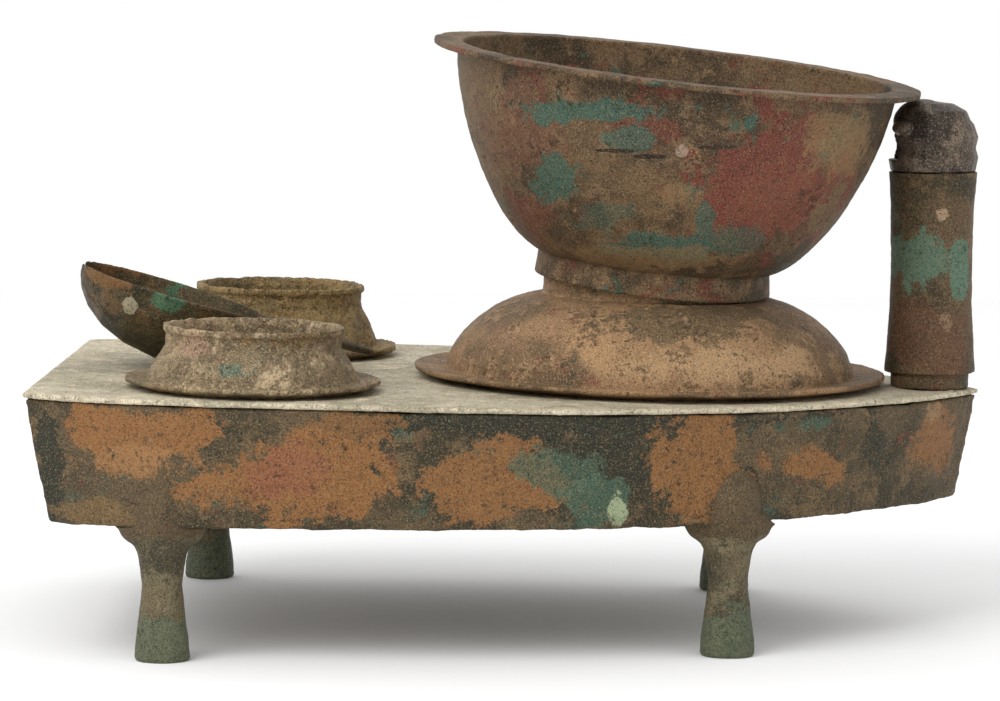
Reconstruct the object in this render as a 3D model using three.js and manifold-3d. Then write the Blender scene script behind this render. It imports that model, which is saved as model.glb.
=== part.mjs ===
import * as THREE from "three";
import { mergeVertices } from "three/addons/utils/BufferGeometryUtils.js";
import Module from "manifold-3d";

// Driving dimensions in millimetres: +X runs toward the chimney, +Z up, origin on the ground
const seatGap = 0.3;

const stoveLength = 500;
const frontHalfWidth = 149;
const widestHalfWidth = 171;
const widestFromFront = 150;
const deckHeight = 133;
const deckSlope = 0.018;
const deckThickness = 3;
const floorHeight = 69.5;
const floorThickness = 3;
const wallThickness = 4;
const wallTopInset = 1.5;
const wallBottomInset = 12;

const fireMouthWidth = 90;
const fireMouthHeight = 34;
const fireMouthSill = 10;

const frontLegX = -179;
const frontLegY = 145;
const rearLegX = 111;
const rearFarLegX = 118;
const rearLegY = 114;
const legFootHalfWidth = 14.3;
const legWaistHalfWidth = 10.3;
const legTopHalfWidth = 25;
const legWaistHeight = 39;
const legDepthShare = 0.9;
const legTopHalfDepth = 13;

const cauldronX = 71.6;
const cauldronFlangeRadius = 127;
const cauldronBodyRadius = 107;
const cauldronNeckRadius = 58.5;
const cauldronShoulderHeight = 46;
const cauldronNeckHeight = 59;
const cauldronDepth = 49;
const vesselWall = 3;
const flangeFoot = 3;
const flangeRise = 5;
const domePower = 1.7;
const bowlPower = 2.3;
const steamerPower = 1.5;

const steamerRimRadius = 131.3;
const steamerBodyRadius = 118.5;
const steamerFootRadius = 63.2;
const steamerFootHeight = 13;
const steamerFootWall = 2.4;
const steamerHeight = 119.4;
const steamerLeanRight = 0.087;
const steamerLeanNear = 0.055;
const slitCount = 12;
const slitWidth = 3.5;
const slitLength = 30;
const slitMiddle = 34;

const potX = -136;
const potY = 100.6;
const potFlangeRadius = 66;
const potBodyRadius = 52.5;
const potRimRadius = 47;
const potWall = 2.5;
const potNeckStep = 1.5;
const potNeckHeight = 11;
const potDepth = 36;
const nearPotHeight = 33;
const farPotHeight = 39;
const holeClearance = 1.5;

const ladleLength = 167;
const ladleBowlLength = 104;
const ladleHalfWidth = 42;
const ladleDepth = 39;
const ladleWall = 2.5;
const ladleTilt = 0.29;
const ladleBackX = -236;
const ladleY = 0;
const ladleBackAboveDeck = 60.6;

const chimneyX = 223.5;
const chimneyRadius = 22;
const chimneyWall = 3;
const chimneyPipeHeight = 108;
const collarHeight = 16;
const collarRadius = 21;
const socketDepth = 8;
const headRadius = 24.3;
const headHeight = 38;
const smokeMouthWidth = 26;
const smokeMouthHeight = 18;
const smokeMouthSill = 7;
const headWall = 2.6;
const spigotDepth = 6;

const wasm = await Module();
wasm.setup();

const bronze = (color) => new THREE.MeshStandardMaterial({ color, roughness: 0.75, metalness: 0.5 });

/** Merged copy of a geometry that holds positions alone. */
function positionsOnly(geometry) {
  const bare = geometry.clone();
  bare.deleteAttribute("normal");
  bare.deleteAttribute("uv");
  return mergeVertices(bare, 1e-4);
}

function toSolid(geometry) {
  const merged = positionsOnly(geometry);
  return new wasm.Manifold(new wasm.Mesh({
    numProp: 3,
    vertProperties: new Float32Array(merged.attributes.position.array),
    triVerts: new Uint32Array(merged.index.array),
  }));
}

function toGeometry(solid) {
  const mesh = solid.getMesh();
  const geometry = new THREE.BufferGeometry();
  geometry.setAttribute("position", new THREE.BufferAttribute(new Float32Array(mesh.vertProperties), 3));
  geometry.setIndex(new THREE.BufferAttribute(new Uint32Array(mesh.triVerts), 1));
  geometry.computeVertexNormals();
  return geometry;
}

function cut(body, ...tools) {
  return toGeometry(tools.reduce((left, tool) => left.subtract(toSolid(tool)), toSolid(body)));
}

/** A solid turned about Z from a closed profile of [radius, height] points. */
function turned(profile, segments) {
  const points = profile.map(([radius, height]) => new THREE.Vector2(radius, height));
  points.push(points[0].clone());
  return faceOut(positionsOnly(new THREE.LatheGeometry(points, segments)).rotateX(Math.PI / 2));
}

/** The same solid with its faces turned outward. */
function faceOut(geometry) {
  const position = geometry.attributes.position;
  const corners = [0, 1, 2].map(() => new THREE.Vector3());
  const index = geometry.index.array;
  let volume = 0;
  for (let i = 0; i < index.length; i += 3) {
    corners.forEach((corner, k) => corner.fromBufferAttribute(position, index[i + k]));
    volume += corners[0].dot(corners[1].cross(corners[2]));
  }
  if (volume < 0) {
    for (let i = 0; i < index.length; i += 3) [index[i + 1], index[i + 2]] = [index[i + 2], index[i + 1]];
  }
  const kept = [];
  for (let i = 0; i < index.length; i += 3) {
    const [a, b, c] = [index[i], index[i + 1], index[i + 2]];
    if (a !== b && b !== c && c !== a) kept.push(a, b, c);
  }
  geometry.setIndex(kept);
  geometry.computeVertexNormals();
  return geometry;
}

/** A solid through rows of points: rows join in a ring, or the two end rows are capped. */
function skinned(rows, ring) {
  const width = rows[0].length;
  const positions = rows.flat(2);
  const index = [];
  const rowCount = ring ? rows.length : rows.length - 1;
  for (let row = 0; row < rowCount; row++) {
    const next = (row + 1) % rows.length;
    for (let k = 0; k < width; k++) {
      const after = (k + 1) % width;
      const [a, b, c, d] = [row * width + k, row * width + after, next * width + after, next * width + k];
      index.push(a, b, c, a, c, d);
    }
  }
  if (!ring) {
    const last = (rows.length - 1) * width;
    const flat = (row) => THREE.ShapeUtils.triangulateShape(row.map((p) => capPoint(p)), []);
    flat(rows[0]).forEach((corners) => index.push(...orient(rows[0], corners, false)));
    flat(rows.at(-1)).forEach((corners) => {
      index.push(...orient(rows.at(-1), corners, true).map((i) => last + i));
    });
  }
  const geometry = new THREE.BufferGeometry();
  geometry.setAttribute("position", new THREE.Float32BufferAttribute(positions, 3));
  geometry.setIndex(index);
  return faceOut(geometry);
}

const capPlane = { axis: 2 };
const capPoint = ([x, y, z]) => (capPlane.axis === 2 ? new THREE.Vector2(x, y) : new THREE.Vector2(y, z));

/** A cap's triangle wound like its row at the end, and against it at the start. */
function orient(row, triangle, along) {
  const area = (ids) => THREE.ShapeUtils.area(ids.map((i) => capPoint(row[i])));
  const rowArea = THREE.ShapeUtils.area(row.map((p) => capPoint(p)));
  const same = area(triangle) * rowArea > 0;
  return same === along ? triangle : [triangle[0], triangle[2], triangle[1]];
}

/** Half of the stove's width at a distance from its front end. */
function halfWidth(fromFront) {
  if (fromFront < widestFromFront) {
    const rise = Math.max(0, 1 - fromFront / 100);
    return widestHalfWidth - (widestHalfWidth - frontHalfWidth) * rise ** 3;
  }
  const along = (fromFront - widestFromFront) / (stoveLength - widestFromFront);
  return widestHalfWidth * Math.max(0, 1 - along ** 2.9) ** 0.9;
}

/** The boat-shaped outline, drawn in from the deck's edge by an inset, as [x, y] points. */
function outline(inset) {
  const side = 22;
  const near = [];
  for (let i = 0; i <= side; i++) {
    const from = (stoveLength - 2 * inset) * Math.sin((i / side) * Math.PI / 2) ** 1.2;
    const scale = (widestHalfWidth - inset) / widestHalfWidth;
    const full = (from / (stoveLength - 2 * inset)) * stoveLength;
    near.push([from + inset - stoveLength / 2, -halfWidth(full) * scale]);
  }
  near[side][1] = 0;
  const far = near.slice(0, side).reverse().map(([x, y]) => [x, -y]);
  return [...near, ...far];
}

const deckTopAt = (x) => deckHeight - deckSlope * x;
const disc = (radius, height, x, y, sides = 40) =>
  new THREE.CylinderGeometry(radius, radius, height, sides).rotateX(Math.PI / 2).translate(x, y, 0);

function deckPlate() {
  const rows = [deckThickness, 0].map((drop) => outline(0).map(([x, y]) => [x, y, -drop]));
  return cut(
    skinned(rows, false),
    disc(cauldronBodyRadius + holeClearance, 20, cauldronX, 0),
    disc(potBodyRadius + holeClearance, 20, potX, -potY),
    disc(potBodyRadius + holeClearance, 20, potX, potY),
    disc(collarRadius - chimneyWall, 20, chimneyX, 0, 24),
  );
}

function hearthWall() {
  const under = deckThickness + seatGap;
  const row = (inset, height) => outline(inset).map(([x, y]) => [x, y, height(x)]);
  const top = (x) => deckTopAt(x) - under;
  const bottom = () => floorHeight;
  const shell = skinned([
    row(wallBottomInset, bottom),
    row(wallTopInset, top),
    row(wallTopInset + wallThickness, top),
    row(wallBottomInset + wallThickness, bottom),
  ], true);
  const mouth = new THREE.BoxGeometry(60, fireMouthWidth, fireMouthHeight)
    .translate(-stoveLength / 2, 0, floorHeight + fireMouthSill + fireMouthHeight / 2);
  return cut(shell, mouth);
}

function hearthFloor() {
  const inset = wallBottomInset + wallThickness + seatGap;
  const level = (z) => outline(inset).map(([x, y]) => [x, y, floorHeight + z]);
  return skinned([level(0), level(floorThickness)], false);
}

function leg() {
  const top = floorHeight - seatGap;
  const sides = 20;
  const foot = legFootHalfWidth;
  const waist = legWaistHalfWidth;
  const section = (z, wide, deep) => Array.from({ length: sides }, (_, k) => {
    const angle = (k / sides) * Math.PI * 2;
    return [wide * Math.cos(angle), deep * Math.sin(angle), z];
  });
  const shaft = [[0, foot - 0.8], [1.5, foot], [9, foot - 0.4], [20, (foot + waist) / 2],
    [legWaistHeight, waist], [(2 * legWaistHeight + top) / 3, waist + 1.5]]
    .map(([z, wide]) => section(z, wide, wide * legDepthShare));
  const flare = [0.25, 0.5, 0.75, 1].map((share) => {
    const z = top - (1 - share) * (top - legWaistHeight) * 0.6;
    return section(z, waist + 2 + (legTopHalfWidth - waist - 2) * share ** 2,
      legDepthShare * (waist + 2) + (legTopHalfDepth - legDepthShare * (waist + 2)) * share);
  });
  return skinned([...shaft, ...flare], false);
}

/** A quarter of a superellipse between two [radius, height] points, level first and upright last. */
function quarter([radius, height], [endRadius, endHeight], power, steps) {
  return Array.from({ length: steps + 1 }, (_, k) => {
    const angle = (k / steps) * (Math.PI / 2);
    const out = k === steps ? 1 : Math.sin(angle) ** (2 / power);
    const up = k === steps ? 1 : 1 - Math.cos(angle) ** (2 / power);
    return [radius + (endRadius - radius) * out, height + (endHeight - height) * up];
  });
}

function cauldron() {
  const body = cauldronBodyRadius;
  const neck = cauldronNeckRadius;
  const wall = vesselWall;
  const shoulder = cauldronShoulderHeight;
  const outer = [[neck, cauldronNeckHeight],
    ...quarter([neck, shoulder], [body + flangeFoot, flangeRise], domePower, 8),
    [cauldronFlangeRadius, flangeRise + 1.5], [cauldronFlangeRadius, flangeRise - 1],
    [body + flangeFoot, seatGap],
    ...quarter([0, -cauldronDepth], [body, seatGap], bowlPower, 8).reverse()];
  const inner = [...quarter([0, wall - cauldronDepth], [body - wall, seatGap], bowlPower, 8),
    ...quarter([neck - wall, shoulder - wall], [body - wall, flangeRise], domePower, 8).reverse(),
    [neck - wall, cauldronNeckHeight]];
  return turned([...outer, ...inner], 48);
}

function steamer() {
  const foot = steamerFootRadius;
  const wall = vesselWall;
  const height = steamerHeight;
  const outer = [[foot - steamerFootWall, 0], [foot, 0],
    ...quarter([foot, steamerFootHeight], [steamerBodyRadius, height - wall], steamerPower, 9),
    [steamerRimRadius, height - wall], [steamerRimRadius, height]];
  const floorTop = steamerFootHeight + wall;
  const side = steamerBodyRadius - wall;
  const inner = [[side, height],
    ...quarter([foot - wall, floorTop], [side, height - wall], steamerPower, 9).reverse(),
    [0, floorTop], [0, steamerFootHeight], [foot - steamerFootWall, steamerFootHeight]];
  const slit = () => new THREE.BoxGeometry(slitLength, slitWidth, 4 * wall)
    .translate(slitMiddle, 0, steamerFootHeight + wall / 2);
  const slits = Array.from({ length: slitCount }, (_, k) => slit().rotateZ((k / slitCount) * Math.PI * 2));
  return cut(turned([...outer, ...inner], 48), ...slits);
}

function pot(height) {
  const rim = potRimRadius;
  const body = potBodyRadius;
  const wall = potWall;
  const neck = rim - potNeckStep;
  const neckFoot = height - potNeckHeight;
  const outer = [[rim, height], [rim, height - 3], [neck, height - 4], [neck, neckFoot],
    [(neck + body + flangeFoot) / 2 + 1, (neckFoot + flangeRise) / 2],
    [body + flangeFoot, flangeRise],
    [potFlangeRadius, flangeRise + 1], [potFlangeRadius, flangeRise - 1.3],
    [body + flangeFoot, seatGap], ...quarter([0, -potDepth], [body, seatGap], bowlPower, 7).reverse()];
  const inner = [...quarter([0, wall - potDepth], [body - wall, seatGap], bowlPower, 7),
    [neck - wall, neckFoot - wall], [neck - wall, height - 4], [rim - wall, height]];
  return turned([...outer, ...inner], 36);
}

/** The half gourd: a round bowl that narrows into a pointed trough. */
function ladle() {
  const bowlEnd = ladleBowlLength;
  const widthAt = (x) => {
    const bowl = x < bowlEnd ? Math.sqrt(Math.max(0, 1 - ((x - bowlEnd / 2) / (bowlEnd / 2)) ** 2)) : 0;
    const trough = x < bowlEnd / 2 ? 0 : 12 * Math.sqrt(Math.max(0, 1 - x / (ladleLength + 0.5))) * 1.6;
    return Math.max(ladleHalfWidth * bowl, trough);
  };
  const depthAt = (x) => {
    const bowl = x < bowlEnd + 12 ? Math.sqrt(Math.max(0, 1 - ((x - 54) / (x < 54 ? 54 : 62)) ** 2)) : 0;
    const trough = x < bowlEnd / 2 ? 0 : 9 * Math.sqrt(Math.max(0, 1 - x / (ladleLength + 4)) + 0.1);
    return Math.max(ladleDepth * bowl, trough);
  };
  const stations = [1, 4, 10, 20, 34, 52, 70, 84, 93, 98, 102, 110, 125, 142, 156, 166];
  const arc = 8;
  capPlane.axis = 0;
  const rows = stations.map((x) => {
    const [wide, deep] = [widthAt(x), depthAt(x)];
    const inWide = Math.max(wide - ladleWall, wide * 0.4);
    const inDeep = Math.max(deep - ladleWall, deep * 0.4);
    const outside = Array.from({ length: arc + 1 }, (_, k) => (k / arc) * Math.PI)
      .map((a) => [x, wide * Math.cos(a), -deep * Math.sin(a)]);
    const inside = Array.from({ length: arc + 1 }, (_, k) => (1 - k / arc) * Math.PI)
      .map((a) => [x, inWide * Math.cos(a), -inDeep * Math.sin(a)]);
    return [...outside, ...inside];
  });
  const geometry = skinned(rows, false);
  capPlane.axis = 2;
  return geometry;
}

function chimneyCollar() {
  const inner = collarRadius - chimneyWall;
  return turned([[collarRadius, seatGap], [collarRadius, collarHeight],
    [inner, collarHeight], [inner, seatGap]], 24);
}

function chimneyPipe() {
  const lip = collarRadius + 1;
  const inner = chimneyRadius - chimneyWall;
  return turned([[lip, 0], [lip + 2, 0], [lip + 2, 3],
    [chimneyRadius, collarHeight], [chimneyRadius, chimneyPipeHeight],
    [inner, chimneyPipeHeight], [inner, socketDepth], [lip, socketDepth]], 24);
}

/** The hood: a lobed dome with a spigot inside the pipe and a mouth facing the fire end. */
function chimneyHead() {
  const spigot = chimneyRadius - chimneyWall - 1;
  const wall = headWall;
  const head = headRadius;
  const top = headHeight;
  const shell = turned([[spigot, -spigotDepth], [spigot, seatGap],
    [head - 1.5, seatGap], [head, 8], [head - 1.3, 13],
    [head, 19], [head - 2.5, 26], [head - 4.5, 28], [head - 6.5, 33], [10, top - 1], [0, top],
    [0, top - wall], [9, top - wall - 1], [head - 10, 30], [head - 6.5, 24], [head - 4, 18], [head - 4, 6],
    [spigot - wall, 2], [spigot - wall, -spigotDepth]], 24);
  const mouth = new THREE.BoxGeometry(head, smokeMouthWidth, smokeMouthHeight)
    .translate(-head, 0, smokeMouthSill + smokeMouthHeight / 2);
  return cut(shell, mouth);
}

const stove = new THREE.Group();
const deck = new THREE.Group();
deck.position.z = deckHeight;
deck.rotation.y = deckSlope;
stove.add(deck);

function place(parent, name, geometry, color, x = 0, y = 0, z = 0) {
  const mesh = new THREE.Mesh(geometry, bronze(color));
  mesh.name = name;
  mesh.position.set(x, y, z);
  parent.add(mesh);
  return mesh;
}

place(deck, "deck_plate", deckPlate(), 0x8f8f78);
place(stove, "hearth_wall", hearthWall(), 0x5b4a2c);
place(stove, "hearth_floor", hearthFloor(), 0x4a3f2c);
place(stove, "leg_front_near", leg(), 0x4b463a, frontLegX, -frontLegY);
place(stove, "leg_front_far", leg(), 0x4b463a, frontLegX, frontLegY);
place(stove, "leg_rear_near", leg(), 0x4b463a, rearLegX, -rearLegY);
place(stove, "leg_rear_far", leg(), 0x4b463a, rearFarLegX, rearLegY);
place(deck, "cauldron", cauldron(), 0x6a5334, cauldronX);
place(deck, "near_pot", pot(nearPotHeight), 0x83755c, potX, -potY);
place(deck, "far_pot", pot(farPotHeight), 0x8d7850, potX, potY);
place(deck, "chimney_collar", chimneyCollar(), 0x5d4c33, chimneyX);

// The steamer leans, so its foot stands on the cauldron's shoulder at its lowest point
const lean = Math.hypot(steamerLeanRight, steamerLeanNear);
const steamerSeat = cauldronShoulderHeight + seatGap + steamerFootRadius * Math.sin(lean);
const steamerMesh = place(deck, "steamer", steamer(), 0x6b4030, cauldronX, 0, steamerSeat);
steamerMesh.rotation.set(steamerLeanNear, steamerLeanRight, 0);

const ladleBackHeight = deckHeight + ladleBackAboveDeck;
const ladleMesh = place(stove, "ladle", ladle(), 0x4c4028, ladleBackX, ladleY, ladleBackHeight);
ladleMesh.rotation.y = ladleTilt;

// The pipe stands upright on the sloping collar, clear of its high side
const pipeBase = deckTopAt(chimneyX) + collarHeight - socketDepth + 2 * seatGap;
place(stove, "chimney_pipe", chimneyPipe(), 0x5d4c33, chimneyX, 0, pipeBase);
place(stove, "chimney_head", chimneyHead(), 0x453a2c, chimneyX, 0, pipeBase + chimneyPipeHeight);

export default stove;
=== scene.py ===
"""Patinated bronze looks for the boat-shaped cooking stove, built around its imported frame."""
import logging
import math
from dataclasses import dataclass, field
from enum import Enum
from typing import ClassVar

import bmesh
import bpy
from mathutils import Matrix, Vector


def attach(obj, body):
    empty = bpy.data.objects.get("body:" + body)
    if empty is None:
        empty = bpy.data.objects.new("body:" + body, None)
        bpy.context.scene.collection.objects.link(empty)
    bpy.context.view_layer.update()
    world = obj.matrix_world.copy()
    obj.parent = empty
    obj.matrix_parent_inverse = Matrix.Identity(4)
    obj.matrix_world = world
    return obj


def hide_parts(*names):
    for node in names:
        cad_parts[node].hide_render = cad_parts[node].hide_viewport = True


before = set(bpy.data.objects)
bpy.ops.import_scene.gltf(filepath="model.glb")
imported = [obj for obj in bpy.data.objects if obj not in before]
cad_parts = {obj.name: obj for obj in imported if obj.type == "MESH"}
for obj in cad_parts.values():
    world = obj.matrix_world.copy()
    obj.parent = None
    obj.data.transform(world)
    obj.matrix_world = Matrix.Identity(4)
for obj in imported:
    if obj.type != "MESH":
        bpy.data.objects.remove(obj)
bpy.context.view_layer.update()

LOG = logging.getLogger("stove")
IMAGE_WIDTH = 1000
IMAGE_HEIGHT = 701
SENSOR_MM = 36.0
MM_PER_METRE = 1000

# The deck's middle and slope, and where each group of pieces stands, in metres and radians
DECK_HEIGHT = 0.133
DECK_SLOPE = 0.018
CAULDRON_X = 0.0716
STEAMER_SEAT = 0.0528
STEAMER_LEAN_RIGHT = 0.087
STEAMER_LEAN_NEAR = 0.055
POT_X = -0.136
POT_Y = 0.1006
NEAR_POT_HEIGHT_MM = 33.0
FAR_POT_HEIGHT_MM = 39.0
CHIMNEY_X = 0.2235
PIPE_BASE = 0.1376
LEGS = (("leg_front_near", (-0.179, -0.145)), ("leg_front_far", (-0.179, 0.145)),
        ("leg_rear_near", (0.111, -0.114)), ("leg_rear_far", (0.118, 0.114)))
DECK = Matrix.Translation((0.0, 0.0, DECK_HEIGHT)) @ Matrix.Rotation(DECK_SLOPE, 4, "Y")


class Refine(Enum):
    """How a casting's first mesh becomes its fine surface."""

    VOXEL = "voxel"
    NONE = "none"


Profile = list[tuple[float, float]]
Color = tuple[float, float, float]


def quarter(start: tuple[float, float], end: tuple[float, float], power: float,
            steps: int = 40) -> Profile:
    """A quarter of a superellipse, level at its start and upright at its end.

    Args:
        start: its first radius and height.
        end: its last radius and height.
        power: 2 is an ellipse, less is flatter.
        steps: how many pieces it is cut into.
    Returns: its points.
    """
    points = []
    for step in range(steps + 1):
        angle = step / steps * math.pi / 2
        out = abs(math.sin(angle)) ** (2 / power)
        up = 1 - abs(math.cos(angle)) ** (2 / power)
        points.append((start[0] + (end[0] - start[0]) * out, start[1] + (end[1] - start[1]) * up))
    return points


def resampled(points: Profile, spacing: float) -> Profile:
    """Returns: the closed profile with points no farther apart than spacing."""
    fine: Profile = []
    for here, after in zip(points, points[1:] + points[:1]):
        count = max(1, math.ceil(math.dist(here, after) / spacing))
        fine += [(here[0] + (after[0] - here[0]) * k / count, here[1] + (after[1] - here[1]) * k / count)
                 for k in range(count)]
    return fine


@dataclass(frozen=True)
class Viewpoint:
    """The photograph's camera, in metres and radians, with its focal length in pixels."""

    place: Vector = Vector((0.02367, -2.2508, 0.358))
    yaw: float = -0.01465
    pitch: float = 0.09354
    roll: float = 0.0071
    focal_px: float = 4168.6

    def axes(self) -> tuple[Vector, Vector, Vector]:
        """Returns: the camera's right, up and forward directions."""
        forward = Vector((math.sin(self.yaw) * math.cos(self.pitch),
                          math.cos(self.yaw) * math.cos(self.pitch), -math.sin(self.pitch)))
        right = Vector((math.cos(self.yaw), -math.sin(self.yaw), 0.0))
        up = right.cross(forward)
        turn = Matrix.Rotation(-self.roll, 3, forward)
        return turn @ right, turn @ up, forward

    def on_plane(self, pixel_x: float, pixel_y: float, plane_y: float) -> Vector:
        """Returns: where a pixel's ray meets the upright plane y = plane_y."""
        right, up, forward = self.axes()
        ray = forward + right * ((pixel_x - IMAGE_WIDTH / 2) / self.focal_px)
        ray += up * ((IMAGE_HEIGHT / 2 - pixel_y) / self.focal_px)
        return self.place + ray * ((plane_y - self.place.y) / ray.y)

    def build(self) -> None:
        """Adds the camera and makes it the scene's own."""
        data = bpy.data.cameras.new("view")
        data.sensor_width = SENSOR_MM
        data.lens = self.focal_px / IMAGE_WIDTH * SENSOR_MM
        data.clip_end = 20.0
        camera = bpy.data.objects.new("view", data)
        right, up, forward = self.axes()
        turn = Matrix((right, up, -forward)).transposed().to_4x4()
        camera.matrix_world = Matrix.Translation(self.place) @ turn
        bpy.context.scene.collection.objects.link(camera)
        bpy.context.scene.camera = camera


def shaded(color: Color, factor: float, lift: float = 0.0) -> Color:
    """Returns: the colour made darker or paler by a factor and a lift, at most 1 in each part."""
    return tuple(min(1.0, part * factor + lift) for part in color)


class Signal:
    """A shader socket that adds Math nodes when it is used in an expression."""

    def __init__(self, tree: bpy.types.NodeTree, socket: bpy.types.NodeSocket) -> None:
        self.tree = tree
        self.socket = socket

    def _math(self, operation: str, left: object, right: object) -> "Signal":
        node = self.tree.nodes.new("ShaderNodeMath")
        node.operation = operation
        for slot, value in zip(node.inputs, (left, right)):
            if isinstance(value, Signal):
                self.tree.links.new(value.socket, slot)
            else:
                slot.default_value = float(value)
        return Signal(self.tree, node.outputs[0])

    def __add__(self, other: object) -> "Signal":
        return self._math("ADD", self, other)

    def __mul__(self, other: object) -> "Signal":
        return self._math("MULTIPLY", self, other)

    def __sub__(self, other: object) -> "Signal":
        return self._math("SUBTRACT", self, other)

    def __rsub__(self, other: object) -> "Signal":
        return self._math("SUBTRACT", other, self)

    __radd__ = __add__
    __rmul__ = __mul__


@dataclass(frozen=True)
class Patch:
    """A patch of colour, mostly a stain of corrosion and in places painted shade: an ellipsoid in the
    stove's own space, in metres.
    """

    centre: Vector
    reach: Vector
    color: Color
    strength: float = 1.0
    ragged: float = 6.0


@dataclass(frozen=True)
class Layer:
    """A corrosion product, scattered wherever its own noise runs above a level."""

    color: Color
    scale: float
    level: float
    strength: float = 0.8


@dataclass(frozen=True)
class Patina:
    """A bronze finish: three mottled tones, a crust tone, and listed patches, mostly corrosion, in
    places painted shade.
    """

    name: str
    base: Color
    dark: Color
    light: Color
    crust: Color
    crust_amount: float = 0.45
    grain: float = 1.0
    patches: tuple[Patch, ...] = ()
    layers: tuple[Layer, ...] = ()
    rough: float = 0.5
    metal: float = 0.1
    shine: float = 0.2

    def build(self) -> bpy.types.Material:
        """Returns: the material, with all of its nodes."""
        material = bpy.data.materials.new(self.name)
        material.use_nodes = True
        PatinaShader(material.node_tree).fill(self)
        return material


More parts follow.
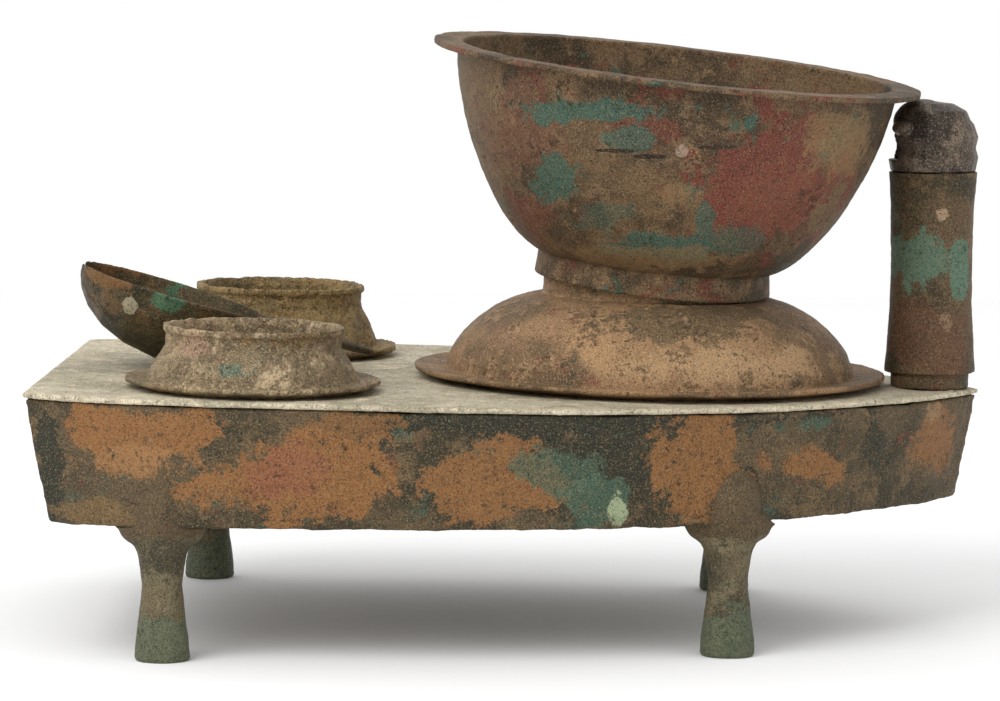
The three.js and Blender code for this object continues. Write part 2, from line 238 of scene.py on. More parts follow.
class PatinaShader:
    """Fills a node tree with a patina's colours, roughness and relief.

    The scales are in cycles per metre: broad tones, stain edges, crust, fine pits and grit.
    """

    BROAD = 16.0
    EDGES = 30.0
    MIDDLE = 62.0
    FINE = 300.0
    GRIT = 1100.0
    FIRST_LAYER_SEED = 5.0

    def __init__(self, tree: bpy.types.NodeTree) -> None:
        self.tree = tree
        self.surface = tree.nodes["Principled BSDF"]
        self.place = tree.nodes.new("ShaderNodeTexCoord").outputs["Object"]

    def node(self, kind: str, links: dict[str, object], **settings: object) -> bpy.types.Node:
        """Adds a node.

        Args:
            kind: the node's type.
            links: its inputs by name, as sockets, signals or plain values.
            settings: its attributes.
        Returns: the node.
        """
        made = self.tree.nodes.new(kind)
        for name, value in settings.items():
            setattr(made, name, value)
        for name, value in links.items():
            source = value.socket if isinstance(value, Signal) else value
            if isinstance(source, bpy.types.NodeSocket):
                self.tree.links.new(source, made.inputs[name])
            else:
                made.inputs[name].default_value = source
        return made

    def noise(self, scale: float, detail: float, roughness: float, seed: float = 0.0) -> Signal:
        """Adds a noise.

        Args:
            scale: its cycles per metre.
            detail: how many finer octaves it has.
            roughness: how strong they are.
            seed: which of many noises it is.
        Returns: values from 0 to 1.
        """
        made = self.node("ShaderNodeTexNoise",
                         {"Vector": self.place, "Scale": scale, "Detail": detail,
                          "Roughness": roughness}, noise_dimensions="4D")
        made.inputs["W"].default_value = seed
        return Signal(self.tree, made.outputs["Fac"])

    def ramp(self, value: Signal, low: float, high: float) -> Signal:
        """Returns: value rising from 0 at low to 1 at high."""
        made = self.node("ShaderNodeMapRange", {"Value": value, "From Min": low, "From Max": high},
                         interpolation_type="SMOOTHSTEP")
        return Signal(self.tree, made.outputs["Result"])

    def mix(self, mask: Signal, under: object, over: Color) -> bpy.types.NodeSocket:
        """Returns: the colour over laid on the colour under through a mask."""
        made = self.tree.nodes.new("ShaderNodeMix")
        made.data_type = "RGBA"
        self.tree.links.new(mask.socket, made.inputs[0])
        if isinstance(under, bpy.types.NodeSocket):
            self.tree.links.new(under, made.inputs[6])
        else:
            made.inputs[6].default_value = (*under, 1.0)
        made.inputs[7].default_value = (*over, 1.0)
        return made.outputs[2]

    def stain(self, patch: Patch, ragged: Signal) -> Signal:
        """Returns: a patch's mask, with a ragged edge."""
        shift = self.node("ShaderNodeVectorMath", {0: self.place, 1: patch.centre},
                          operation="SUBTRACT")
        inverse = Vector((1 / patch.reach.x, 1 / patch.reach.y, 1 / patch.reach.z))
        scaled = self.node("ShaderNodeVectorMath", {0: shift.outputs[0], 1: inverse},
                           operation="MULTIPLY")
        length = self.node("ShaderNodeVectorMath", {0: scaled.outputs[0]}, operation="LENGTH")
        inside = 1.0 - Signal(self.tree, length.outputs["Value"]) + (ragged - 0.5) * patch.ragged
        return self.ramp(inside, 0.0, 0.16) * patch.strength

    def fill(self, patina: Patina) -> None:
        """Args: patina: the finish to lay down."""
        broad = self.noise(self.BROAD, 8.0, 0.62)
        middle = self.noise(self.MIDDLE, 8.0, 0.65, 1.0)
        fine = self.noise(self.FINE, 8.0, 0.72, 2.0)
        grit = self.noise(self.GRIT, 4.0, 0.75, 3.0)
        color = self.mix(self.ramp(broad, 0.44, 0.56), patina.base, patina.dark)
        color = self.mix(self.ramp(middle, 0.5, 0.6) * 0.8, color, patina.light)
        for seed, layer in enumerate(patina.layers):
            scattered = self.noise(layer.scale, 9.0, 0.7, self.FIRST_LAYER_SEED + seed)
            spread = scattered * 0.8 + fine * 0.2
            mask = self.ramp(spread, layer.level, layer.level + 0.05) * layer.strength
            color = self.mix(mask, color, layer.color)
        ragged = self.noise(self.EDGES, 9.0, 0.72, 4.0) * 0.75 + fine * 0.25
        for patch in patina.patches:
            mask = self.stain(patch, ragged)
            color = self.mix(mask, color, patch.color)
            pale = mask * self.ramp(fine * 0.6 + grit * 0.4, 0.5, 0.58) * 0.6
            color = self.mix(pale, color, shaded(patch.color, 1.6, 0.02))
            deep = mask * self.ramp(middle * 0.4 + fine * 0.6, 0.5, 0.56) * 0.6
            color = self.mix(deep, color, shaded(patch.color, 0.5))
        edge = 1.0 - patina.crust_amount
        crust = self.ramp(middle * 0.5 + fine * 0.4 + grit * 0.1, edge, edge + 0.06)
        color = self.mix(crust * 0.7, color, patina.crust)
        color = self.mix(self.ramp(fine, 0.53, 0.62) * 0.6, color, patina.dark)
        color = self.mix(self.ramp(grit, 0.52, 0.62) * 0.85, color, shaded(patina.dark, 0.3))
        color = self.mix(self.ramp(1.0 - grit, 0.53, 0.64) * 0.6, color, shaded(patina.crust, 1.25))
        self.tree.links.new(color, self.surface.inputs["Base Color"])
        rough = patina.rough + crust * 0.3 + fine * 0.2
        self.tree.links.new(rough.socket, self.surface.inputs["Roughness"])
        self.surface.inputs["Metallic"].default_value = patina.metal
        self.surface.inputs["Specular IOR Level"].default_value = patina.shine
        height = fine * 0.5 + crust * 0.5 + middle * 0.6 + grit * 0.15
        bump = self.node("ShaderNodeBump", {"Height": height, "Strength": 0.9,
                                            "Distance": 0.0014 * patina.grain})
        self.tree.links.new(bump.outputs[0], self.surface.inputs["Normal"])


def finished_mesh(piece: bpy.types.Object) -> bpy.types.Mesh:
    """Returns: a plain mesh of the piece with its modifiers applied."""
    bpy.context.view_layer.update()
    return bpy.data.meshes.new_from_object(
        piece.evaluated_get(bpy.context.evaluated_depsgraph_get()))


@dataclass
class Casting:
    """One bronze casting: a fine copy of its faceted solid, roughened as old metal is."""

    SWELL_SIZE: ClassVar[float] = 0.022
    PIT_SIZE: ClassVar[float] = 0.005

    node: str
    body: str
    patina: Patina
    refine: Refine = Refine.VOXEL
    voxel: float = 0.0017
    swell: float = 0.0012
    pits: float = 0.0005
    soften: int = 2

    def displace(self, piece: bpy.types.Object, size: float, strength: float) -> None:
        """Roughens a piece.

        Args:
            piece: the object.
            size: the lumps' size, in metres.
            strength: their height, in metres.
        """
        texture = bpy.data.textures.new(f"{self.node}_{int(size * 1e4)}", "CLOUDS")
        texture.noise_scale = size
        texture.noise_depth = 3
        modifier = piece.modifiers.new(texture.name, "DISPLACE")
        modifier.texture = texture
        modifier.texture_coords = "LOCAL"
        modifier.strength = strength
        modifier.mid_level = 0.5

    def shape(self) -> bpy.types.Mesh:
        """Returns: the mesh that is refined, here the node's own faceted solid."""
        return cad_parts[self.node].data.copy()

    def build(self) -> bpy.types.Object:
        """Returns: the dressed casting, riding on its body in its node's place."""
        piece = bpy.data.objects.new(f"{self.node}_cast", self.shape())
        bpy.context.scene.collection.objects.link(piece)
        weld = piece.modifiers.new("weld", "WELD")
        weld.merge_threshold = 1e-6
        if self.refine is Refine.VOXEL:
            remesh = piece.modifiers.new("fine", "REMESH")
            remesh.mode = "VOXEL"
            remesh.voxel_size = self.voxel
        soften = piece.modifiers.new("soften", "SMOOTH")
        soften.iterations = self.soften
        self.displace(piece, self.SWELL_SIZE, self.swell)
        self.displace(piece, self.PIT_SIZE, self.pits)
        shown = finished_mesh(piece)
        piece.modifiers.clear()
        piece.data = shown
        piece.data.materials.clear()
        piece.data.materials.append(self.patina.build())
        for polygon in piece.data.polygons:
            polygon.use_smooth = True
        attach(piece, self.body)
        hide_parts(self.node)
        LOG.info("%s: %d faces", piece.name, len(piece.data.polygons))
        return piece


def solid_mesh(name: str, vertices: list[Vector], faces: list[tuple[int, ...]]) -> bpy.types.Mesh:
    """Returns: a welded mesh with its faces turned outward."""
    mesh = bpy.data.meshes.new(name)
    mesh.from_pydata(vertices, [], faces)
    work = bmesh.new()
    work.from_mesh(mesh)
    bmesh.ops.remove_doubles(work, verts=work.verts, dist=1e-6)
    bmesh.ops.recalc_face_normals(work, faces=work.faces)
    work.to_mesh(mesh)
    work.free()
    return mesh


def ring_mesh(name: str, rows: list[list[Vector]]) -> bpy.types.Mesh:
    """Skins rows of points, the last joined to the first.

    Args:
        name: the mesh's name.
        rows: closed loops of points, all of one length.
    Returns: the closed mesh.
    """
    width = len(rows[0])
    faces = []
    for row in range(len(rows)):
        after = (row + 1) % len(rows)
        faces += [(row * width + k, row * width + (k + 1) % width, after * width + (k + 1) % width,
                   after * width + k) for k in range(width)]
    return solid_mesh(name, [point for row in rows for point in row], faces)


@dataclass
class Turned(Casting):
    """A vessel or pipe turned about its own axis from a closed profile, in millimetres."""

    profile: Profile = field(default_factory=list)
    place: Matrix = field(default_factory=Matrix)
    segments: int = 224
    spacing_mm: float = 1.5
    refine: Refine = Refine.NONE

    def shape(self) -> bpy.types.Mesh:
        """Returns: the turned solid where its node is."""
        angles = [k * math.tau / self.segments for k in range(self.segments)]
        rows = []
        for radius, height in resampled(self.profile, self.spacing_mm):
            loop = [Vector((radius * math.cos(a), radius * math.sin(a), height)) for a in angles]
            rows.append([self.place @ (point / MM_PER_METRE) for point in loop])
        return ring_mesh(self.node, rows)


class SlitRing:
    """The node group that cuts a ring of radial slits through a plate and gives it its material."""

    INPUTS = (("Count", "NodeSocketInt"), ("Size", "NodeSocketVector"),
              ("Middle", "NodeSocketFloat"), ("Place", "NodeSocketVector"),
              ("Lean", "NodeSocketVector"), ("Material", "NodeSocketMaterial"))

    def __init__(self) -> None:
        self.tree = bpy.data.node_groups.new("slit_ring", "GeometryNodeTree")
        sockets = self.tree.interface
        sockets.new_socket("Geometry", in_out="INPUT", socket_type="NodeSocketGeometry")
        self.keys = {name: sockets.new_socket(name, in_out="INPUT", socket_type=kind).identifier
                     for name, kind in self.INPUTS}
        sockets.new_socket("Geometry", in_out="OUTPUT", socket_type="NodeSocketGeometry")
        given = self.tree.nodes.new("NodeGroupInput").outputs
        circle = self.node("GeometryNodeMeshCircle",
                           {"Vertices": given["Count"], "Radius": given["Middle"]})
        place = self.node("GeometryNodeInputPosition", {})
        turn = self.node("FunctionNodeAlignRotationToVector", {"Vector": place.outputs[0]}, axis="X")
        slit = self.node("GeometryNodeMeshCube", {"Size": given["Size"]})
        ring = self.node("GeometryNodeInstanceOnPoints",
                         {"Points": circle.outputs[0], "Instance": slit.outputs[0],
                          "Rotation": turn.outputs[0]})
        real = self.node("GeometryNodeRealizeInstances", {"Geometry": ring.outputs[0]})
        moved = self.node("GeometryNodeTransform",
                          {"Geometry": real.outputs[0], "Translation": given["Place"],
                           "Rotation": given["Lean"]})
        cut = self.node("GeometryNodeMeshBoolean",
                        {"Mesh 1": given["Geometry"], "Mesh 2": moved.outputs[0]},
                        operation="DIFFERENCE")
        done = self.node("GeometryNodeSetMaterial",
                         {"Geometry": cut.outputs[0], "Material": given["Material"]})
        self.node("NodeGroupOutput", {"Geometry": done.outputs[0]})

    def node(self, kind: str, links: dict[str, bpy.types.NodeSocket],
             **settings: object) -> bpy.types.Node:
        """Adds a node.

        Args:
            kind: the node's type.
            links: the sockets that feed its inputs, by the inputs' names.
            settings: its attributes.
        Returns: the node.
        """
        made = self.tree.nodes.new(kind)
        for name, value in settings.items():
            setattr(made, name, value)
        for name, source in links.items():
            self.tree.links.new(source, made.inputs[name])
        return made

    def apply(self, piece: bpy.types.Object, values: dict[str, object]) -> None:
        """Args: piece: what is cut; values: the group's inputs by name."""
        modifier = piece.modifiers.new("slits", "NODES")
        modifier.node_group = self.tree
        for name, value in values.items():
            modifier[self.keys[name]] = value


@dataclass
class Grated(Turned):
    """A turned vessel whose inner floor is pierced by a ring of radial slits."""

    slits: int = 12
    slit_size: tuple[float, float, float] = (0.030, 0.0035, 0.009)
    slit_middle: float = 0.034
    slit_height: float = 0.0145

    def shape(self) -> bpy.types.Mesh:
        """Returns: the pierced solid where its node is."""
        piece = bpy.data.objects.new("grate_blank", super().shape())
        bpy.context.scene.collection.objects.link(piece)
        at = self.place @ Vector((0.0, 0.0, self.slit_height))
        SlitRing().apply(piece, {"Count": self.slits, "Size": self.slit_size, "Middle": self.slit_middle,
                                 "Place": tuple(at), "Lean": tuple(self.place.to_euler()),
                                 "Material": self.patina.build()})
        shown = finished_mesh(piece)
        bpy.data.objects.remove(piece)
        return shown


@dataclass(frozen=True)
class Lump:
    """An ellipsoid that is fused into a casting: its centre and its half sizes, in metres."""

    centre: Vector
    reach: Vector

    def add_to(self, work: bmesh.types.BMesh) -> None:
        """Args: work: the mesh that it joins."""
        place = Matrix.Translation(self.centre) @ Matrix.Diagonal((*self.reach, 1.0))
        bmesh.ops.create_uvsphere(work, u_segments=40, v_segments=24, radius=1.0, matrix=place)


@dataclass
class Fused(Casting):
    """A casting whose solid is fused with rounded lumps into one skin."""

    lumps: tuple[Lump, ...] = ()
    refine: Refine = Refine.VOXEL
    voxel: float = 0.0008
    soften: int = 10

    def shape(self) -> bpy.types.Mesh:
        """Returns: the solid and its lumps, before they are fused."""
        mesh = super().shape()
        work = bmesh.new()
        work.from_mesh(mesh)
        for lump in self.lumps:
            lump.add_to(work)
        work.to_mesh(mesh)
        work.free()
        return mesh


@dataclass(frozen=True)
class VesselShapes:
    """The turned vessels' sizes, in millimetres, and their closed profiles."""

    wall: float = 3.0
    seat: float = 0.3
    flange_foot: float = 3.0
    flange_rise: float = 5.0
    dome_power: float = 1.7
    bowl_power: float = 2.3
    steamer_power: float = 1.5

    def cauldron(self, body: float = 107.0, neck: float = 58.5, shoulder: float = 46.0,
                 top: float = 59.0, flange: float = 127.0, depth: float = 49.0) -> Profile:
        """Returns: the cauldron's profile, its height counted from the deck."""
        foot = (body + self.flange_foot, self.flange_rise)
        outer = [(neck, top), *quarter((neck, shoulder), foot, self.dome_power),
                 (flange, self.flange_rise + 1.5),
                 (flange, self.flange_rise - 1), (body + self.flange_foot, self.seat),
                 *reversed(quarter((0, -depth), (body, self.seat), self.bowl_power))]
        side = body - self.wall
        dome = quarter((neck - self.wall, shoulder - self.wall), (side, self.flange_rise),
                       self.dome_power)
        inner = [*quarter((0, self.wall - depth), (side, self.seat), self.bowl_power),
                 *reversed(dome), (neck - self.wall, top)]
        return outer + inner

    def steamer(self, rim: float = 131.3, body: float = 118.5, foot: float = 63.2,
                foot_height: float = 13.0, foot_wall: float = 2.4, height: float = 119.4) -> Profile:
        """Returns: the steamer's profile, its height counted from its foot."""
        under = height - self.wall
        floor = foot_height + self.wall
        outer = [(foot - foot_wall, 0), (foot + 0.8, 0), (foot - 0.3, foot_height),
                 *quarter((foot, foot_height), (body, under), self.steamer_power),
                 (rim, under), (rim, height)]
        side = body - self.wall
        inner = [(side, height),
                 *reversed(quarter((foot - self.wall, floor), (side, under), self.steamer_power)),
                 (0, floor), (0, foot_height), (foot - foot_wall, foot_height)]
        return outer + inner

    def pot(self, height: float, rim: float = 47.0, body: float = 52.5, flange: float = 66.0,
            wall: float = 2.5, neck_step: float = 1.5, neck_height: float = 11.0,
            depth: float = 36.0) -> Profile:
        """Returns: a pot's profile, its height counted from the deck."""
        neck = rim - neck_step
        foot = height - neck_height
        edge = body + self.flange_foot
        outer = [(rim, height), (rim, height - 3), (neck, height - 4), (neck, foot),
                 ((neck + edge) / 2 + 1, (foot + self.flange_rise) / 2), (edge, self.flange_rise),
                 (flange, self.flange_rise + 1), (flange, self.flange_rise - 1.3), (edge, self.seat),
                 *reversed(quarter((0, -depth), (body, self.seat), self.bowl_power))]
        inner = [*quarter((0, wall - depth), (body - wall, self.seat), self.bowl_power),
                 (neck - wall, foot - wall), (neck - wall, height - 4), (rim - wall, height)]
        return outer + inner

    def pipe(self, height: float = 108.0) -> Profile:
        """Returns: the chimney pipe's profile, flared at its foot, its height counted from its lip."""
        bore = 19
        socket = 22
        return [(socket, 0), (24.2, 0), (24.2, 2.5), (23.2, 16), (22.2, 34), (21.8, 60), (22.4, 88),
                (23.6, height), (bore, height), (bore, 8), (socket, 8)]


@dataclass(frozen=True)
class Mark:
    """A spot in the photograph, in pixels, on an upright plane at y, and its size in metres."""

    pixel: tuple[float, float]
    y: float
    reach: tuple[float, float, float]

    def lump(self, view: Viewpoint) -> Lump:
        """Returns: the rounded lump of metal there."""
        return Lump(view.on_plane(*self.pixel, self.y), Vector(self.reach))


HOOD_MARKS = (
    Mark((922, 122), 0.0, (0.0155, 0.0165, 0.0125)),
    Mark((934, 141), -0.0135, (0.0125, 0.0105, 0.0052)),
    Mark((938, 160), -0.0135, (0.0105, 0.0105, 0.0048)),
    Mark((966, 149), -0.004, (0.0055, 0.008, 0.0036)),
    Mark((903, 128), -0.0145, (0.006, 0.0065, 0.004)),
)


class Finishes:
    """Every casting's finish, with its corrosion marks, and painted shade inside the pots and on the
    steamer's crack, where the photograph shows them.
    """

    WALL_FACE = -0.160
    PROW_FACE = -0.06
    STEAMER_FACE = -0.09
    CAULDRON_FACE = -0.12
    NEAR_POT_FACE = -0.145
    LADLE_FACE = -0.03
    CHIMNEY_FACE = -0.02
    STAIN_DEPTH = 0.09
    RED = (0.17, 0.045, 0.028)
    TEAL = (0.05, 0.1, 0.07)

    def __init__(self, view: Viewpoint) -> None:
        self.view = view

    def stain(self, box: tuple[float, float, float, float], face: float, color: Color,
              strength: float = 0.9, ragged: float = 6.0) -> Patch:
        """Places one mark: a stain, or in places painted shade.

        Args:
            box: its left, top, right and bottom in the photograph, in pixels.
            face: the y of the surface that it lies on, in metres.
            color: its colour.
            strength: how fully it covers.
            ragged: how far noise moves its edge.
        Returns: the patch there.
        """
        left, top, right, bottom = box
        low = self.view.on_plane(left, bottom, face)
        high = self.view.on_plane(right, top, face)
        centre = (low + high) / 2
        reach = Vector(((high.x - low.x) / 2, self.STAIN_DEPTH, (high.z - low.z) / 2))
        return Patch(centre, reach, color, strength, ragged)

    def stains_and_shade(self, face: float, rows: tuple[tuple, ...]) -> tuple[Patch, ...]:
        """Places marks on one face: stain patches, and any painted shade.

        Args:
            face: the y of the surface that they lie on, in metres.
            rows: each one's box, its colour and any further values.
        Returns: the patches.
        """
        return tuple(self.stain(box, face, *rest) for box, *rest in rows)

    def hearth(self) -> Patina:
        """Returns: the hearth wall's and floor's finish: rust, green streaks and a dark strip."""
        rust, dark, teal = (0.27, 0.12, 0.04), (0.022, 0.026, 0.018), (0.06, 0.12, 0.08)
        side = self.stains_and_shade(self.WALL_FACE, (
            ((380, 398, 700, 440), dark),
            ((480, 430, 660, 520), dark, 0.8),
            ((28, 400, 62, 520), dark),
            ((700, 470, 770, 520), dark, 0.8),
            ((740, 405, 905, 450), dark, 0.85),
            ((870, 430, 915, 500), dark, 0.8),
            ((62, 403, 225, 470), rust),
            ((95, 440, 190, 480), (0.3, 0.15, 0.06)),
            ((220, 428, 420, 532), rust),
            ((390, 440, 560, 528), rust, 0.8),
            ((652, 418, 744, 520), rust, 0.85),
            ((768, 448, 876, 514), rust, 0.85),
            ((800, 402, 880, 430), rust, 0.5),
            ((300, 405, 400, 445), rust, 0.6),
            ((520, 450, 600, 490), teal, 0.6),
            ((570, 480, 640, 530), teal, 0.7),
            ((760, 425, 880, 448), teal, 0.6),
            ((608, 500, 630, 532), (0.34, 0.4, 0.24)),
            ((250, 440, 330, 500), (0.26, 0.08, 0.05), 0.45),
            ((60, 500, 140, 528), (0.2, 0.12, 0.05), 0.6),
        ))
        prow = self.stains_and_shade(self.PROW_FACE, (
            ((908, 395, 970, 495), rust, 0.75),
            ((920, 400, 950, 430), (0.33, 0.2, 0.1), 0.6),
        ))
        return Patina(
            "hearth", base=(0.1, 0.07, 0.038), dark=(0.04, 0.034, 0.02), light=(0.15, 0.1, 0.05),
            crust=(0.26, 0.19, 0.1), crust_amount=0.42, patches=side + prow,
            layers=(Layer(self.RED, 40.0, 0.58, 0.7), Layer(self.TEAL, 30.0, 0.57, 0.7)))

    def deck(self) -> Patina:
        """Returns: the deck's pale grey-green finish."""
        return Patina(
            "deck", base=(0.55, 0.49, 0.35), dark=(0.34, 0.3, 0.2), light=(0.74, 0.63, 0.47),
            crust=(0.74, 0.65, 0.48), crust_amount=0.5, grain=0.6,
            layers=(Layer((0.62, 0.54, 0.4), 9.0, 0.47, 0.7),
                    Layer((0.16, 0.17, 0.1), 24.0, 0.57, 0.7)))

    def legs(self) -> Patina:
        """Returns: the legs' finish, brown at the wall and greenish at the foot."""
        top = Patch(Vector((0.0, 0.0, 0.086)), Vector((0.6, 0.6, 0.026)), (0.1, 0.066, 0.034),
                    0.9, 1.4)
        foot = Patch(Vector((0.0, 0.0, 0.006)), Vector((0.6, 0.6, 0.02)), (0.09, 0.12, 0.075), 0.7)
        return Patina(
            "legs", base=(0.13, 0.1, 0.055), dark=(0.055, 0.048, 0.03), light=(0.17, 0.14, 0.08),
            crust=(0.22, 0.18, 0.1), crust_amount=0.42, patches=(top, foot),
            layers=(Layer((0.25, 0.115, 0.04), 50.0, 0.58, 0.7), Layer(self.TEAL, 45.0, 0.58, 0.6)))

    def cauldron(self) -> Patina:
        """Returns: the cauldron's tan finish with its crusts and dark bands."""
        swirl = self.stains_and_shade(self.CAULDRON_FACE, (
            ((640, 352, 850, 388), (0.42, 0.27, 0.14), 0.8),
            ((575, 325, 615, 375), (0.4, 0.24, 0.12), 0.8),
            ((600, 300, 800, 345), (0.05, 0.05, 0.03), 0.6),
            ((470, 320, 520, 360), (0.2, 0.1, 0.06), 0.6),
        ))
        return Patina(
            "cauldron", base=(0.32, 0.19, 0.095), dark=(0.15, 0.095, 0.05), light=(0.4, 0.25, 0.13),
            crust=(0.48, 0.32, 0.18), crust_amount=0.46, grain=1.6, patches=swirl,
            layers=(Layer((0.22, 0.085, 0.05), 45.0, 0.55, 0.7),
                    Layer((0.3, 0.19, 0.09), 26.0, 0.56, 0.8),
                    Layer((0.04, 0.045, 0.028), 38.0, 0.57, 0.8)))

    def steamer(self) -> Patina:
        """Returns: the steamer's finish: cuprite red, malachite, a chaplet and a crack whose dark line
        is painted shade.
        """
        red, teal, ochre = (0.17, 0.042, 0.028), (0.045, 0.115, 0.085), (0.28, 0.17, 0.075)
        # the crack has no relief: its near-black lines are painted shade of the crevice
        crack_shade = (0.01, 0.008, 0.006)
        side = self.stains_and_shade(self.STEAMER_FACE, (
            ((680, 100, 850, 255), red),
            ((740, 170, 830, 240), (0.19, 0.06, 0.035), 0.9),
            ((470, 80, 560, 180), (0.16, 0.07, 0.04), 0.6),
            ((478, 190, 560, 250), red, 0.5),
            ((590, 100, 690, 150), red, 0.55),
            ((520, 98, 690, 122), teal, 0.85),
            ((590, 122, 665, 150), teal, 0.7),
            ((525, 162, 585, 205), teal, 0.8),
            ((600, 230, 720, 262), teal, 0.85),
            ((700, 225, 770, 258), teal, 0.5),
            ((733, 108, 760, 134), teal, 0.9),
            ((690, 200, 715, 240), teal, 0.7),
            ((560, 200, 640, 232), teal, 0.4),
            ((560, 245, 720, 275), ochre, 0.5),
            ((800, 110, 875, 175), ochre, 0.55),
            ((660, 180, 700, 205), ochre, 0.5),
            # painted shade: the crack's dark lines
            ((590, 147, 640, 151), crack_shade, 0.9, 0.7),
            ((630, 152, 668, 157), crack_shade, 0.9, 0.7),
            ((690, 143, 738, 147), crack_shade, 0.7, 0.8),
            ((673, 141, 688, 156), (0.34, 0.24, 0.17), 0.95, 0.4),
        ))
        return Patina(
            "steamer", base=(0.16, 0.1, 0.05), dark=(0.06, 0.04, 0.022), light=(0.2, 0.125, 0.065),
            crust=(0.26, 0.19, 0.115), crust_amount=0.43, grain=1.4, patches=side,
            layers=(Layer(self.RED, 34.0, 0.54, 0.75), Layer(self.TEAL, 42.0, 0.56, 0.8),
                    Layer((0.3, 0.19, 0.09), 55.0, 0.57, 0.8),
                    Layer((0.02, 0.018, 0.013), 30.0, 0.58, 0.7)))

    def pot_inside_shade(self, pot_y: float, middle: float) -> Patch:
        """Args: pot_y: the pot's y; middle: the height of its painted inner shade over the deck, in
        metres.
        Returns: the patch of painted shade that darkens the inside of the pot."""
        # painted shade: a near-black ellipsoid darkens the pot's hollow inside
        centre = DECK @ Vector((POT_X, pot_y, middle))
        return Patch(centre, Vector((0.0455, 0.0455, 0.06)), (0.03, 0.03, 0.022), 0.9, 0.3)

    def near_pot(self) -> Patina:
        """Returns: the near pot's grey-tan crust, with its ochre neck and a teal stain."""
        side = self.stains_and_shade(self.NEAR_POT_FACE, (
            ((205, 330, 325, 350), (0.2, 0.125, 0.05), 0.85),
            ((212, 358, 262, 384), (0.08, 0.14, 0.1), 0.8),
            ((180, 330, 212, 358), (0.36, 0.22, 0.15), 0.6),
        ))
        return Patina(
            "near_pot", base=(0.38, 0.28, 0.16), dark=(0.2, 0.15, 0.085), light=(0.5, 0.34, 0.2),
            crust=(0.56, 0.44, 0.28), crust_amount=0.5, grain=2.0,
            # the first patch is painted shade inside the pot
            patches=(self.pot_inside_shade(-POT_Y, 0.009), *side),
            layers=(Layer((0.12, 0.15, 0.1), 60.0, 0.55, 0.7),
                    Layer((0.36, 0.19, 0.12), 50.0, 0.57, 0.7)))

    def far_pot(self) -> Patina:
        """Returns: the far pot's tan and olive crust."""
        return Patina(
            "far_pot", base=(0.3, 0.21, 0.09), dark=(0.16, 0.115, 0.055), light=(0.42, 0.27, 0.11),
            crust=(0.48, 0.34, 0.16), crust_amount=0.48, grain=2.4,
            # the first patch is painted shade inside the pot
            patches=(self.pot_inside_shade(POT_Y, 0.014),),
            layers=(Layer((0.3, 0.15, 0.06), 70.0, 0.56, 0.7),
                    Layer((0.07, 0.1, 0.06), 60.0, 0.57, 0.7)))

    def ladle(self) -> Patina:
        """Returns: the ladle's dark olive-brown finish, orange near its rim."""
        side = self.stains_and_shade(self.LADLE_FACE, (
            ((82, 262, 150, 285), (0.2, 0.09, 0.03), 0.7),
            ((152, 288, 182, 310), (0.07, 0.16, 0.09), 0.9),
            ((125, 296, 138, 312), (0.34, 0.3, 0.2), 0.9),
        ))
        return Patina(
            "ladle", base=(0.075, 0.055, 0.026), dark=(0.03, 0.028, 0.015),
            light=(0.14, 0.08, 0.035), crust=(0.2, 0.15, 0.08), crust_amount=0.38, grain=0.8,
            patches=side, layers=(Layer((0.17, 0.085, 0.03), 45.0, 0.56, 0.7),), rough=0.42,
            metal=0.35)

    def chimney(self) -> Patina:
        """Returns: the chimney's finish: malachite runs, tan spots and a reddish foot."""
        teal, tan = (0.1, 0.2, 0.14), (0.4, 0.28, 0.17)
        side = self.stains_and_shade(self.CHIMNEY_FACE, (
            ((885, 225, 945, 290), teal, 0.7),
            ((950, 235, 970, 300), teal, 0.8),
            ((936, 208, 950, 222), tan),
            ((938, 310, 952, 330), tan),
            ((885, 300, 970, 376), (0.13, 0.055, 0.03), 0.6),
        ))
        return Patina(
            "chimney", base=(0.115, 0.075, 0.038), dark=(0.045, 0.036, 0.02),
            light=(0.16, 0.1, 0.05), crust=(0.22, 0.17, 0.1), crust_amount=0.42, grain=1.2,
            patches=side,
            layers=(Layer(self.RED, 50.0, 0.57, 0.6), Layer(self.TEAL, 42.0, 0.57, 0.6)))

    def hood(self) -> Patina:
        """Returns: the hood's dark, worn finish."""
        return Patina(
            "hood", base=(0.13, 0.1, 0.075), dark=(0.045, 0.035, 0.028), light=(0.2, 0.15, 0.11),
            crust=(0.34, 0.27, 0.2), crust_amount=0.38, grain=0.7,
            layers=(Layer((0.1, 0.05, 0.028), 60.0, 0.56, 0.6),), rough=0.3, metal=0.55)


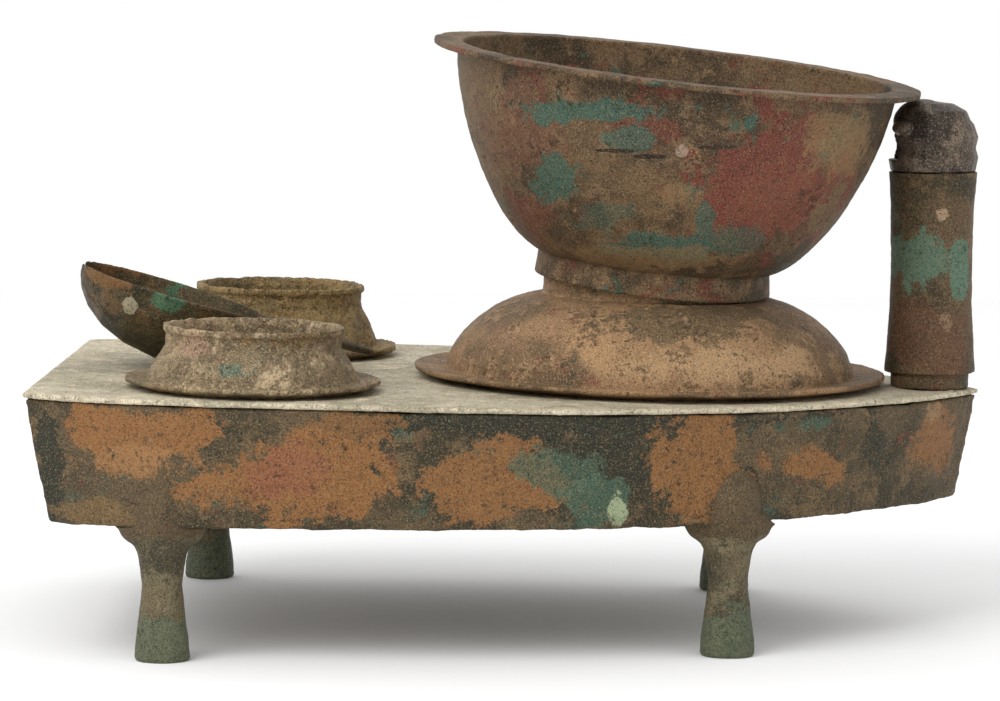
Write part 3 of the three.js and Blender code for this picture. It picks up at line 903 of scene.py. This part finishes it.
class Stove:
    """The whole set of castings."""

    def __init__(self, view: Viewpoint) -> None:
        self.view = view
        self.finishes = Finishes(view)

    def castings(self) -> list[Casting]:
        """Returns: every casting with its body and finish."""
        return [*self.hearth(), *self.vessels(), *self.chimney()]

    def hearth(self) -> list[Casting]:
        """Returns: the deck, the wall, the floor and the legs."""
        wall = self.finishes.hearth()
        legs = self.finishes.legs()
        return [Casting("deck_plate", "stove", self.finishes.deck(), voxel=0.0016, swell=0.0006),
                Casting("hearth_wall", "stove", wall, voxel=0.0016, swell=0.0022, pits=0.0008),
                Casting("hearth_floor", "stove", wall, voxel=0.002, swell=0.0006),
                *(self.foot(name, legs, place) for name, place in LEGS)]

    def vessels(self) -> list[Casting]:
        """Returns: the cauldron, the steamer, both pots and the ladle."""
        shapes = VesselShapes()
        finishes = self.finishes
        cauldron = DECK @ Matrix.Translation((CAULDRON_X, 0.0, 0.0))
        near = DECK @ Matrix.Translation((POT_X, -POT_Y, 0.0))
        far = DECK @ Matrix.Translation((POT_X, POT_Y, 0.0))
        lean = (Matrix.Rotation(STEAMER_LEAN_NEAR, 4, "X")
                @ Matrix.Rotation(STEAMER_LEAN_RIGHT, 4, "Y"))
        steamer = DECK @ Matrix.Translation((CAULDRON_X, 0.0, STEAMER_SEAT)) @ lean
        return [Turned("cauldron", "cauldron", finishes.cauldron(), pits=0.0007,
                       profile=shapes.cauldron(), place=cauldron),
                Grated("steamer", "steamer", finishes.steamer(), profile=shapes.steamer(),
                       place=steamer),
                Turned("near_pot", "near_pot", finishes.near_pot(), swell=0.0018, pits=0.0016,
                       profile=shapes.pot(NEAR_POT_HEIGHT_MM), place=near, spacing_mm=1.2),
                Turned("far_pot", "far_pot", finishes.far_pot(), swell=0.0024, pits=0.0022,
                       profile=shapes.pot(FAR_POT_HEIGHT_MM), place=far, spacing_mm=1.2),
                Casting("ladle", "ladle", finishes.ladle(), voxel=0.0008, swell=0.0008, soften=3)]

    def chimney(self) -> list[Casting]:
        """Returns: the collar, the pipe and the hood."""
        flue = self.finishes.chimney()
        foot = Matrix.Translation((CHIMNEY_X, 0.0, PIPE_BASE))
        return [Casting("chimney_collar", "stove", flue, voxel=0.0008),
                Turned("chimney_pipe", "stove", flue, profile=VesselShapes().pipe(), place=foot,
                       segments=128, spacing_mm=1.0),
                Fused("chimney_head", "stove", self.finishes.hood(), voxel=0.00065, soften=6,
                      swell=0.0006, lumps=tuple(mark.lump(self.view) for mark in HOOD_MARKS))]

    def foot(self, name: str, patina: Patina, place: tuple[float, float]) -> Casting:
        """Builds a leg with its shoulder against the wall.

        Args:
            name: the leg's node.
            patina: its finish.
            place: where it stands, x and y in metres.
        Returns: the casting.
        """
        x, y = place
        shoulder = Lump(Vector((x, y * 1.01, 0.08)), Vector((0.0165, 0.0165, 0.024)))
        fillet = Lump(Vector((x, y * 0.99, 0.068)), Vector((0.0225, 0.0145, 0.012)))
        return Fused(name, "stove", patina, lumps=(shoulder, fillet), swell=0.001, soften=8)


class Studio:
    """The pale floor, the white surround and the lamps."""

    def floor(self) -> None:
        """Adds the floor that takes the stove's shadow."""
        mesh = bpy.data.meshes.new("floor")
        far = 2.2
        corners = [(-far, -far, 0), (far, -far, 0), (far, far, 0), (-far, far, 0)]
        mesh.from_pydata(corners, [], [(0, 1, 2, 3)])
        floor = bpy.data.objects.new("floor", mesh)
        material = bpy.data.materials.new("pale_floor")
        material.use_nodes = True
        surface = material.node_tree.nodes["Principled BSDF"]
        surface.inputs["Base Color"].default_value = (0.95, 0.95, 0.95, 1.0)
        surface.inputs["Roughness"].default_value = 0.9
        mesh.materials.append(material)
        bpy.context.scene.collection.objects.link(floor)

    def surround(self) -> None:
        """Makes what the camera sees white and the light even."""
        world = bpy.data.worlds.new("surround")
        world.use_nodes = True
        tree = world.node_tree
        seen = tree.nodes.new("ShaderNodeBackground")
        seen.inputs["Strength"].default_value = 1.0
        seen.inputs["Color"].default_value = (1.0, 1.0, 1.0, 1.0)
        light = tree.nodes["Background"]
        light.inputs["Color"].default_value = (1.0, 1.0, 1.0, 1.0)
        light.inputs["Strength"].default_value = 0.98
        path = tree.nodes.new("ShaderNodeLightPath")
        blend = tree.nodes.new("ShaderNodeMixShader")
        tree.links.new(path.outputs["Is Camera Ray"], blend.inputs[0])
        tree.links.new(light.outputs[0], blend.inputs[1])
        tree.links.new(seen.outputs[0], blend.inputs[2])
        tree.links.new(blend.outputs[0], tree.nodes["World Output"].inputs[0])
        bpy.context.scene.world = world

    def lamps(self) -> None:
        """Adds a broad lamp above and to the left."""
        data = bpy.data.lights.new("softbox", "AREA")
        data.energy = 30.0
        data.size = 1.6
        lamp = bpy.data.objects.new("softbox", data)
        lamp.location = (-1.1, -1.4, 1.8)
        aim = Vector((0.0, 0.0, 0.12)) - lamp.location
        lamp.rotation_euler = aim.to_track_quat("-Z", "Y").to_euler()
        bpy.context.scene.collection.objects.link(lamp)


def main() -> None:
    """Builds the stove's looks, the studio and the camera."""
    logging.basicConfig(level=logging.INFO)
    view = Viewpoint()
    for casting in Stove(view).castings():
        casting.build()
    studio = Studio()
    studio.floor()
    studio.surround()
    studio.lamps()
    view.build()
    bpy.context.scene.view_settings.view_transform = "Standard"


if __name__ == "__main__":
    main()
